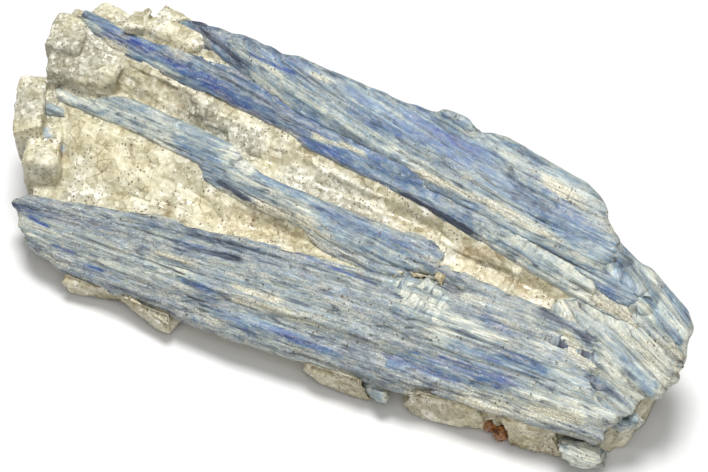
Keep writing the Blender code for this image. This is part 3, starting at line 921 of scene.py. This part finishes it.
def patch(places, start, end, reach):
    """1 along a line on the rock and 0 beyond its reach, with an uneven border."""
    start, run = np.array(start, dtype=float), np.subtract(end, start)
    share = np.clip((places - start) @ run / (run @ run), 0, 1)
    off = np.linalg.norm(places - start - share[:, None] * run, axis=1) / reach
    return ease(1.5 - off - 1.2 * (clouds(places, 2.5, 7, 3) - 0.5))


def along(places, lines):
    """The same for several lines."""
    return np.max([patch(places, *line) for line in lines], axis=0)


print("rust reaches %d points of the sample" % (along(sample, RUST_LINES) > 0).sum())

# %% The quartz matrix
QUARTZ_SQUARE = 0.46
QUARTZ_TRIANGLES = 195000
FULL_DEPTH = 9.0  # where the rock is thinner than this, it is less rough
FOOT_TOP, FOOT_INSET = 20.0, 0.9  # below this height the rock stands back by this much
PIT, PIT_DEPTH = ((12, -3.8, 28), (30, -3.2, 28.6), 3.5), 2.5  # where two sheaves close over the quartz
FLOOR_BAND = 0.5  # what is lower than this stays flat on the floor
FRONT_SHEAVES = ("upper_blades", "dark_blue_blades", "middle_blades", "lower_blades")
FRONT_SHEAVES += ("left_tip_blade", "end_splinters", "end_blade")


def dressed_quartz():
    """The fine, coloured copy of the quartz matrix."""
    obj = worn_feet(fine_copy("quartz_matrix", "quartz_rock", QUARTZ_SQUARE, 2))
    places, normals = points_of(obj)
    blades = [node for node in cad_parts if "blade" in node or "splinters" in node]
    touching = nearness(places, blades, 3.0)
    height = quartz_height(places, touching) * roominess(obj, places, normals, FULL_DEPTH)
    height = np.minimum(height, 1.2 - 1.4 * ease(1.8 * touching))
    height -= PIT_DEPTH * patch(places, *PIT)
    height = height * (0.35 + 0.65 * ease(places[:, 2] / 5))
    height -= FOOT_INSET * ease((FOOT_TOP - places[:, 2]) / 6)
    raised = drawn_up(places, FRONT_SHEAVES) + normals * (0.5 * GROWTH + height)[:, None]
    raised[:, 2] = np.where(places[:, 2] < FLOOR_BAND, 0.0, np.maximum(raised[:, 2], 0.05))
    move_points(obj, raised)
    # Painted shade and dirt: the lower the broken surface, the more the material darkens it brown.
    paint(obj, "hollow_shade", ease(0.30 - height / 2.4))
    clear = ease(2.6 * (clouds(places, (11, 9, 9), 241, 3) - 0.50))
    paint(obj, "clear", np.maximum(clear, 0.9 * along(places, CLEAR_LINES)))
    iron = ease(2.4 * (clouds(places, (13, 10, 10), 251, 3) - 0.52))
    paint(obj, "iron", np.maximum(iron, 0.8 * along(places, IRON_LINES)))
    near_blade = ease(1.5 * touching - 0.5 + 1.2 * (clouds(places, 4, 261, 3) - 0.62))
    paint(obj, "rust", np.maximum(0.35 * near_blade, along(places, RUST_LINES)))
    paint(obj, "blue", np.maximum(0.25 * near_blade, along(places, BLUE_LINES)))
    obj = thin_out(obj, QUARTZ_TRIANGLES)
    print(obj.name, len(obj.data.polygons), "faces")
    return obj


pieces["quartz_matrix"] = dressed_quartz()

# %% [markdown]
# ## Garnets
# Two grains of garnet sit at the front foot. They are roundish and chipped, so small bowls are bitten
# out of fine copies of the plain grains.

# %% Garnet grains
GARNET_SQUARE, GARNET_FACET = 0.12, 1.3


def dressed_garnet(node, seed):
    """A chipped grain with a bumpy skin."""
    obj = fine_copy(node, node + "_grain", GARNET_SQUARE, 1)
    places, normals = points_of(obj)
    height = 0.9 * bowls(places, GARNET_FACET, seed) + 0.10 * (clouds(places, 0.5, seed + 3, 2) - 0.5)
    move_points(obj, places + normals * (GROWTH + height)[:, None])
    obj.data.shade_smooth()
    print(obj.name, len(obj.data.polygons), "faces")
    return obj


for node, seed in (("garnet_left", 301), ("garnet_right", 302)):
    pieces[node] = dressed_garnet(node, seed)

# %% [markdown]
# ## Building blocks for the finishes
# A finish is a small network of nodes. What both minerals need, such as noise, a ramp and dark specks,
# is made once as a node group with named sockets and placed in each material with its own values. The
# helpers below only save typing: they add a node or two and connect or set their sockets.

# %% Helpers for node networks
def sockets(group, side, rows):
    """Adds the named sockets of a group: rows of (name, kind, default)."""
    for name, kind, value in rows:
        socket = group.interface.new_socket(name, in_out=side, socket_type="NodeSocket" + kind)
        if value is not None:
            socket.default_value = value


FINISH = (("Color", "Color"), ("Roughness", "Float"), ("Height", "Float"))  # what each finish puts out


def new_group(name, inputs, outputs=FINISH):
    """An empty shader node group, with its input and output nodes."""
    group = bpy.data.node_groups.new(name, "ShaderNodeTree")
    sockets(group, "INPUT", inputs)
    sockets(group, "OUTPUT", [(*row, None) for row in outputs])
    return group, group.nodes.new("NodeGroupInput").outputs, group.nodes.new("NodeGroupOutput").inputs


def put_out(group, out, *values):
    """Links the colour, roughness and height of a finish to the group's outputs."""
    for value, (name, _) in zip(values, FINISH):
        group.links.new(value, out[name])


def add(tree, kind, settings=(), **inputs):
    """A node with its settings made, and its inputs linked to an output or set to a value."""
    node = tree.nodes.new("ShaderNode" + kind)
    for name, value in dict(settings).items():
        setattr(node, name, value)
    for name, value in inputs.items():
        socket = node.inputs[int(name[1:])] if name[0] == "_" else node.inputs[name.replace("_", " ")]
        if isinstance(value, bpy.types.NodeSocket):
            tree.links.new(value, socket)
        else:
            socket.default_value = value
    return node


def maths(tree, operation, first, second=0.0, third=0.0, clamp=False):
    """The result of one arithmetic step."""
    settings = {"operation": operation, "use_clamp": clamp}
    return add(tree, "Math", settings, _0=first, _1=second, _2=third).outputs[0]


def colour(red, green, blue):
    """A colour as paint charts give it, 0 to 255, turned into the light values that nodes use."""
    parts = [part / 255 for part in (red, green, blue)]
    return (*[part / 12.92 if part <= 0.04045 else ((part + 0.055) / 1.055) ** 2.4 for part in parts], 1)


print("a mid grey is %.3f of white light" % colour(128, 128, 128)[0])

# %% Helpers that mix values, colours and patterns
def total(tree, *values):
    """All the values added up."""
    result = values[0]
    for value in values[1:]:
        result = maths(tree, "ADD", result, value)
    return result


def above(tree, value, gain, offset):
    """0 below a threshold and 1 well above it: value times gain plus offset, kept from 0 to 1."""
    return maths(tree, "MULTIPLY_ADD", value, gain, offset, clamp=True)


def times(tree, first, second):
    """Two values multiplied."""
    return maths(tree, "MULTIPLY", first, second)


def over(tree, look, mask, strength, shade):
    """A colour with another laid over it where the mask is 1, as thickly as the strength says."""
    share = maths(tree, "MULTIPLY", mask, strength, clamp=True)
    return add(tree, "Mix", {"data_type": "RGBA"}, _0=share, _6=look, _7=shade).outputs[2]


def ramp(tree, value, stops):
    """A colour looked up between stops of (place, colour)."""
    node = add(tree, "ValToRGB", Fac=value)
    band = node.color_ramp
    while len(band.elements) < len(stops):
        band.elements.new(0.5)
    for element, (place, shade) in zip(band.elements, stops):
        element.position = place
        element.color = shade
    return node.outputs["Color"]


def brighter(tree, look, share):
    """A colour made lighter where share is above 0 and darker where it is below."""
    return add(tree, "HueSaturation", Color=look, Value=maths(tree, "ADD", share, 1.0)).outputs[0]


def stretched(tree, vector, stretch):
    """The coordinates, multiplied by one number for all three axes or by one for each."""
    factors = stretch if isinstance(stretch, tuple) else (stretch,) * 3
    return add(tree, "VectorMath", {"operation": "MULTIPLY"}, _0=vector, _1=factors).outputs[0]


def streaky(tree, vector, stretch, detail, roughness):
    """Noise from 0 to 1 on a stretched copy of the coordinates."""
    scaled = stretched(tree, vector, stretch)
    noise = add(tree, "TexNoise", Vector=scaled, Scale=1.0, Detail=detail, Roughness=roughness)
    return noise.outputs["Fac"]


def bent(tree, vector, scale, detail, strength):
    """The coordinates, pushed about by noise, so that a pattern on them isn't straight."""
    push = add(tree, "TexNoise", Vector=vector, Scale=scale, Detail=detail).outputs["Color"]
    made = add(tree, "VectorMath", {"operation": "MULTIPLY_ADD"}, _0=push, _1=strength, _2=vector)
    return made.outputs[0]


def centred(tree, value, strength):
    """Noise made to run from minus half to plus half of a strength."""
    return maths(tree, "MULTIPLY_ADD", value, strength, -0.5 * strength)


def slivers(tree, vector, stretch):
    """A number from 0 to 1 for each of many splinters, as long and as wide as the stretch makes them."""
    cells = add(tree, "TexVoronoi", Vector=stretched(tree, vector, stretch), Scale=1.0, Randomness=1.0)
    return add(tree, "SeparateColor", Color=cells.outputs["Color"]).outputs[0]


def seams(tree, vector, stretch, width):
    """1 on the thin borders between such splinters, 0 elsewhere."""
    scaled = stretched(tree, vector, stretch)
    cells = add(tree, "TexVoronoi", {"feature": "DISTANCE_TO_EDGE"}, Vector=scaled, Scale=1.0)
    return maths(tree, "MULTIPLY_ADD", cells.outputs["Distance"], -1.0 / width, 1.0, clamp=True)


print("helpers for arithmetic, colours, noise and cell patterns")

# %% [markdown]
# ## Dark specks
# Tiny black and brown grains of other minerals are peppered over the rock. They come in swarms, so the
# group has two parts: a cell pattern that picks small spots, and a broad noise that says where they may be.

# %% Specks group
def specks_group():
    """Spots from 0 to 1: about Size across, in swarms, more of them as Amount rises."""
    inputs = [("Vector", "Vector", None), ("Size", "Float", 1.0), ("Amount", "Float", 0.5)]
    group, given, out = new_group("specks", inputs, [("Spots", "Float")])
    scale = maths(group, "DIVIDE", 1.0, given["Size"])
    warped = add(group, "VectorMath", {"operation": "ADD"}, _0=given["Vector"])
    wobble = add(group, "TexNoise", Vector=given["Vector"], Scale=1.3, Detail=2.0).outputs["Color"]
    group.links.new(wobble, warped.inputs[1])
    cells = add(group, "TexVoronoi", Vector=warped.outputs[0], Scale=scale, Randomness=1.0)
    swarm = add(group, "TexNoise", Vector=given["Vector"], Scale=0.16, Detail=3.0, Roughness=0.6)
    near = maths(group, "MULTIPLY_ADD", cells.outputs["Distance"], -5.0, 1.9, clamp=True)
    pick = add(group, "SeparateColor", Color=cells.outputs["Color"]).outputs[0]
    level = maths(group, "MULTIPLY_ADD", swarm.outputs["Fac"], 3.0, -1.42)
    chosen = maths(group, "LESS_THAN", pick, maths(group, "MULTIPLY", level, given["Amount"]))
    group.links.new(maths(group, "MULTIPLY", near, chosen), out["Spots"])
    return group


SPECKS = specks_group()


def specks(tree, vector, size, amount):
    """Places the specks group."""
    return add(tree, "Group", {"node_tree": SPECKS}, Vector=vector, Size=size, Amount=amount).outputs[0]


print("group", SPECKS.name)

# %% [markdown]
# ## The kyanite finish
# The painted blueness is shifted by long fine fibres and looked up in a ramp from cream white through
# pale and mid blue to indigo. Slate and cream lie over it in ragged streaks, the edges of the laths are
# darkened with painted shade, and hair-thin white splits catch the light.

# %% Colours of kyanite
KYANITE_RAMP = (
    (0.00, colour(216, 217, 200)),
    (0.16, colour(178, 188, 182)),
    (0.34, colour(138, 158, 167)),
    (0.52, colour(104, 131, 155)),
    (0.70, colour(76, 107, 148)),
    (0.86, colour(60, 92, 150)),
    (1.00, colour(38, 62, 134)),
)


# Colours by how dark each splinter or hair is.
SLATE_RAMP = ((0.0, colour(54, 62, 76)), (0.6, colour(112, 126, 136)), (1.0, colour(164, 172, 170)))
CREAM_RAMP = ((0.34, colour(160, 150, 118)), (0.5, colour(194, 188, 162)), (0.64, colour(220, 218, 200)))
BARE_RAMP = ((0.35, colour(22, 28, 42)), (0.65, colour(62, 72, 92)))
# The grey in the gaps beside the laths is painted shade.
SPLIT_WHITE, CRACK_GREY, GAP_SHADE_GREY = colour(218, 226, 226), colour(56, 62, 74), colour(50, 58, 74)
SEAM_GREYS = (colour(52, 60, 70), colour(62, 70, 82))
SPECK_BROWN = colour(70, 58, 40)
print(len(KYANITE_RAMP), "stops from white to indigo")

# %% Kyanite group
def kyanite_group():
    """Colour, roughness and height of kyanite, from what is painted on a sheaf."""
    inputs = [("Grain", "Vector", None), ("Blue", "Float", 0.5), ("Slate", "Float", 0.1)]
    inputs += [("Stain", "Float", 0.1), ("Crevice_Shade", "Float", 0.0), ("Border", "Float", 0.0)]
    group, given, out = new_group("kyanite", inputs)
    grain = bent(group, given["Grain"], 0.10, 2.0, (0, 1.6, 1.6))
    # Patterns from long to short: fibres, hairs, cloudy mottling, splinters and grit.
    fibres = streaky(group, grain, (0.05, 1.1, 1.1), 5.0, 0.65)
    hairs = streaky(group, grain, (0.12, 2.6, 2.6), 4.0, 0.78)
    mottle = streaky(group, grain, (0.28, 0.45, 0.45), 5.0, 0.7)
    broad = slivers(group, grain, (0.16, 0.9, 0.9))
    thin = slivers(group, grain, (0.55, 2.2, 2.2))
    grit = streaky(group, grain, (1.9, 2.6, 2.6), 4.0, 0.78)
    # Blue, varied by all of them.
    parts = ((fibres, 0.6), (hairs, 0.4), (grit, 0.3), (mottle, 0.8), (broad, 0.20), (thin, 0.10))
    shift = total(group, *(centred(group, *part) for part in parts))
    look = ramp(group, maths(group, "ADD", given["Blue"], shift, clamp=True), KYANITE_RAMP)
    # Slate and cream, in ragged streaks.
    ragged = centred(group, streaky(group, grain, (0.07, 1.1, 1.1), 5.0, 0.7), 1.3)
    slate = total(group, given["Slate"], ragged)
    look = over(group, look, slate, 0.85, ramp(group, thin, SLATE_RAMP))
    ragged = centred(group, streaky(group, grain, (0.3, 1.0, 1.0), 6.0, 0.75), 2.2)
    stain = total(group, maths(group, "MULTIPLY_ADD", given["Border"], 0.75, given["Stain"]), ragged)
    look = over(group, look, stain, 0.95, ramp(group, grit, CREAM_RAMP))
    # White splits, dark cracks, painted shade in the gaps beside the laths, and seams that open here and
    # there.
    look = over(group, look, above(group, times(group, hairs, grit), 9.0, -2.9), 0.6, SPLIT_WHITE)
    look = over(group, look, above(group, times(group, hairs, fibres), -14.0, 2.6), 0.6, CRACK_GREY)
    gap_shade = times(group, given["Crevice_Shade"], above(group, fibres, 2.4, -0.7))
    look = over(group, look, gap_shade, 0.9, GAP_SHADE_GREY)
    long_seams = seams(group, grain, (0.035, 0.42, 0.42), 0.09)
    look = over(group, look, times(group, long_seams, above(group, mottle, 6.0, -2.7)), 0.85, SEAM_GREYS[0])
    short_seams = seams(group, grain, (0.07, 0.95, 0.95), 0.17)
    look = over(group, look, times(group, short_seams, above(group, fibres, 5.0, -2.2)), 0.6, SEAM_GREYS[1])
    # Nearly black where the slate is thickest, and brown specks in the stains.
    look = over(group, look, above(group, given["Slate"], 6.0, -4.1), 0.92, ramp(group, hairs, BARE_RAMP))
    spots = specks(group, grain, 1.0, maths(group, "MULTIPLY_ADD", given["Stain"], 2.2, 0.05))
    look = over(group, look, spots, 0.85, SPECK_BROWN)
    light = total(group, centred(group, grit, 1.5), centred(group, hairs, 1.9))
    look = brighter(group, look, times(group, light, above(group, mottle, -3.4, 2.6)))
    height = maths(group, "MULTIPLY_ADD", hairs, 0.8, maths(group, "MULTIPLY", fibres, 1.2))
    height = maths(group, "MULTIPLY_ADD", thin, 0.25, height)
    height = maths(group, "MULTIPLY_ADD", grit, 0.6, height)
    put_out(group, out, look, maths(group, "MULTIPLY_ADD", grit, 0.5, 0.22), height)
    return group


KYANITE = kyanite_group()
print("group", KYANITE.name, "of", len(KYANITE.nodes), "nodes")

# %% A material around a group
PAINTED = ("Blue", "Slate", "Stain", "Crevice_Shade", "Border")


def finish_of(name, group, values, vector_name, vector, bump, ior):
    """A material around a group: painted numbers go in, colour, roughness and bump come out."""
    made = bpy.data.materials.new(name)
    made.use_nodes = True
    tree = made.node_tree
    shader = tree.nodes["Principled BSDF"]
    placed = add(tree, "Group", {"node_tree": group})
    tree.links.new(vector(tree), placed.inputs[vector_name])
    for title in values:
        painted = add(tree, "Attribute", {"attribute_name": title.lower()})
        tree.links.new(painted.outputs["Fac"], placed.inputs[title])
    tree.links.new(placed.outputs["Color"], shader.inputs["Base Color"])
    tree.links.new(placed.outputs["Roughness"], shader.inputs["Roughness"])
    relief = add(tree, "Bump", Strength=0.8, Distance=bump * MM, Height=placed.outputs["Height"])
    tree.links.new(relief.outputs[0], shader.inputs["Normal"])
    shader.inputs["IOR"].default_value = ior
    print("material", name)
    return made


def grain_vector(tree):
    """The painted place along, across and out of the grain."""
    return add(tree, "Attribute", {"attribute_name": "grain"}).outputs["Vector"]


def millimetres(tree):
    """The point on the rock, in millimetres."""
    place = add(tree, "TexCoord").outputs["Object"]
    return add(tree, "VectorMath", {"operation": "SCALE"}, _0=place, Scale=1 / MM).outputs[0]


kyanite = finish_of("kyanite laths", KYANITE, PAINTED, "Grain", grain_vector, 0.10, 1.6)

# %% [markdown]
# ## The quartz finish
# Milky quartz is cream and cloudy, clearer and greyer in patches, and yellow to brown where iron has
# seeped in. Small facets glint and shade one another, so cell patterns make each facet and chip a little
# lighter or darker as painted light and shade, and another scatters specks.

# %% Quartz group
MILKY_RAMP = ((0.22, colour(170, 160, 128)), (0.42, colour(202, 196, 166)))
MILKY_RAMP += ((0.62, colour(220, 216, 194)), (0.82, colour(244, 244, 238)))
GLASSY_RAMP = ((0.0, colour(126, 127, 114)), (0.7, colour(170, 171, 158)), (1.0, colour(218, 219, 210)))
# The brown laid into the hollows is painted shade and dirt.
IRON_YELLOW, QUARTZ_BLUE, SHADE_AND_DIRT_BROWN = colour(224, 211, 166), colour(156, 174, 186), colour(140, 122, 82)
RUST_BROWN, RIM_BROWN, GRAIN_BROWN = colour(140, 112, 68), colour(118, 98, 66), colour(84, 62, 34)
FACETS, CHIPS = 0.33, 1.1  # how many broken facets and chips there are to a millimetre


def quartz_group():
    """Colour, roughness and height of quartz."""
    inputs = [("Place", "Vector", None), ("Hollow_Shade", "Float", 0.3), ("Clear", "Float", 0.3)]
    inputs += [("Iron", "Float", 0.3), ("Rust", "Float", 0.0), ("Blue", "Float", 0.0)]
    group, given, out = new_group("quartz", inputs)
    place = given["Place"]
    cloudy = streaky(group, place, 0.16, 7.0, 0.62)
    sugar = streaky(group, place, 0.8, 4.0, 0.6)
    crooked = bent(group, place, 1.2, 3.0, (0.7, 0.7, 0.7))
    facet = slivers(group, crooked, FACETS)
    chip = slivers(group, crooked, CHIPS)

    def frayed(name, strength):
        """A painted number with a sugary border."""
        return maths(group, "ADD", given[name], centred(group, sugar, strength), clamp=True)

    # Milky quartz, clear quartz, and quartz that is yellow with iron or blue beside a blade.
    # The facets and chips also shift the milky tone, partly as painted light and shade.
    parts = ((sugar, 0.16), (facet, 0.20), (chip, 0.14))
    look = ramp(group, total(group, cloudy, *(centred(group, *part) for part in parts)), MILKY_RAMP)
    look = over(group, look, frayed("Clear", 0.9), 0.75, ramp(group, chip, GLASSY_RAMP))
    look = over(group, look, frayed("Iron", 0.8), 0.42, IRON_YELLOW)
    blue = maths(group, "ADD", given["Blue"], centred(group, cloudy, 1.0), clamp=True)
    look = over(group, look, times(group, blue, given["Blue"]), 1.5, QUARTZ_BLUE)
    # Painted shade and dirt in the hollows, rust, and brown lines round some facets.
    shade_and_dirt = times(group, given["Hollow_Shade"], above(group, sugar, 3.4, -1.2))
    look = over(group, look, shade_and_dirt, 0.75, SHADE_AND_DIRT_BROWN)
    look = over(group, look, times(group, frayed("Rust", 3.0), given["Rust"]), 0.45, RUST_BROWN)
    rims = times(group, seams(group, crooked, FACETS, 0.06), above(group, cloudy, -6.0, 3.2))
    look = over(group, look, rims, 0.75, RIM_BROWN)
    # Noise varies the tone, each facet and chip is made a little lighter or darker as painted light and
    # shade, and dark grains sit where it is rusty.
    look = brighter(group, look, centred(group, streaky(group, place, 1.5, 3.0, 0.7), 0.35))
    look = brighter(group, look, total(group, centred(group, chip, 0.18), centred(group, facet, 0.20)))
    many = maths(group, "MULTIPLY_ADD", given["Rust"], 7.0, 2.2)
    many = maths(group, "MULTIPLY_ADD", rims, 3.0, many)
    look = over(group, look, specks(group, place, 0.95, many), 0.85, GRAIN_BROWN)
    height = maths(group, "MULTIPLY_ADD", facet, 0.5, maths(group, "MULTIPLY", sugar, 0.5))
    height = maths(group, "MULTIPLY_ADD", chip, 0.35, height)
    put_out(group, out, look, maths(group, "MULTIPLY_ADD", facet, 0.45, 0.22), height)
    return group


QUARTZ = quartz_group()
quartz_attributes = ("Hollow_Shade", "Clear", "Iron", "Rust", "Blue")
milky = finish_of("milky quartz", QUARTZ, quartz_attributes, "Place", millimetres, 0.19, 1.54)

# %% [markdown]
# ## The garnet finish
# Garnet is glassy and reddish brown, with an orange glow where light gets through thin edges, and dull
# brown where it is weathered.

# %% Garnet material
GARNET_RAMP = ((0.38, colour(60, 32, 14)), (0.52, colour(146, 88, 36)), (0.64, colour(214, 150, 78)))


def garnet_group():
    """Colour, roughness and height of a garnet grain."""
    group, given, out = new_group("garnet", [("Place", "Vector", None)])
    skin = streaky(group, given["Place"], 1.1, 5.0, 0.7)
    put_out(group, out, ramp(group, skin, GARNET_RAMP), maths(group, "MULTIPLY", skin, 0.6), skin)
    return group


garnet = finish_of("garnet", garnet_group(), (), "Place", millimetres, 0.25, 1.75)

# %% [markdown]
# ## Putting it together
# Every fine copy stands for its plain solid, takes its material, and moves with the rock's one body.

# %% Materials, slots and bodies
FINISHES = {"quartz_matrix": milky, "garnet_left": garnet, "garnet_right": garnet}  # the rest is kyanite
for node, piece in pieces.items():
    piece.data.materials.clear()
    piece.data.materials.append(FINISHES.get(node, kyanite))
    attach(piece, "root")
    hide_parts(node)
print(sum(len(piece.data.polygons) for piece in pieces.values()), "faces in all")
